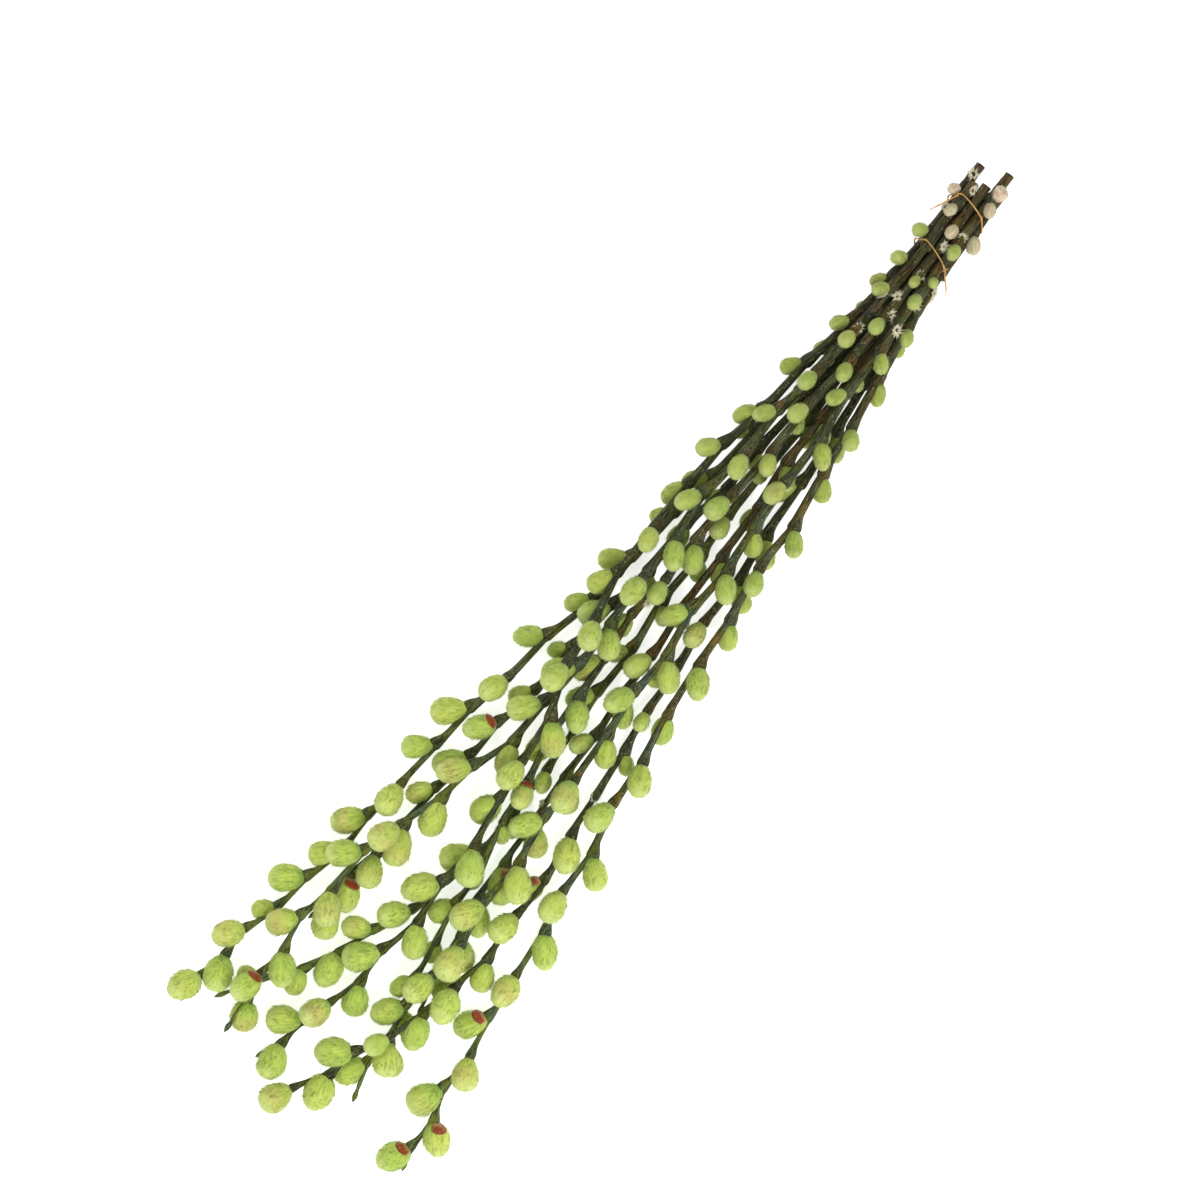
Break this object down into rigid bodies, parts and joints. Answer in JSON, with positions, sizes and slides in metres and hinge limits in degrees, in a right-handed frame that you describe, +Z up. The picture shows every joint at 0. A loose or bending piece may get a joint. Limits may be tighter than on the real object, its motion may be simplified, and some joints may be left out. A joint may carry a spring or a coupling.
{
  "type": "willow twig bunch",
  "caption": "Tied bunch of pussy willow twigs with plump green catkins, lying flat and fanning out from its cut ends.",
  "frame": {"origin": "on the surface that the bunch lies on, under the middle of its box", "axes": "+X along the bunch from the cut ends to the tips, +Y across it, +Z up from the surface"},
  "size_m": [0.5935, 0.1618, 0.0419],
  "materials": {
    "catkin": "soft silky fuzz, dyed lime green",
    "bark": "dark green-brown bark, slightly wrinkled, satin",
    "strand": "golden dried straw, matte"
  },
  "bodies": {
    "root": {"twig_01": "catkin", "twig_02": "catkin", "twig_03": "catkin", "twig_04": "catkin", "twig_05": "catkin", "twig_06": "catkin", "twig_07": "catkin", "twig_08": "catkin", "twig_09": "catkin", "twig_10": "catkin", "tie_upper": "strand", "tie_lower": "strand"}
  },
  "joints": []
}
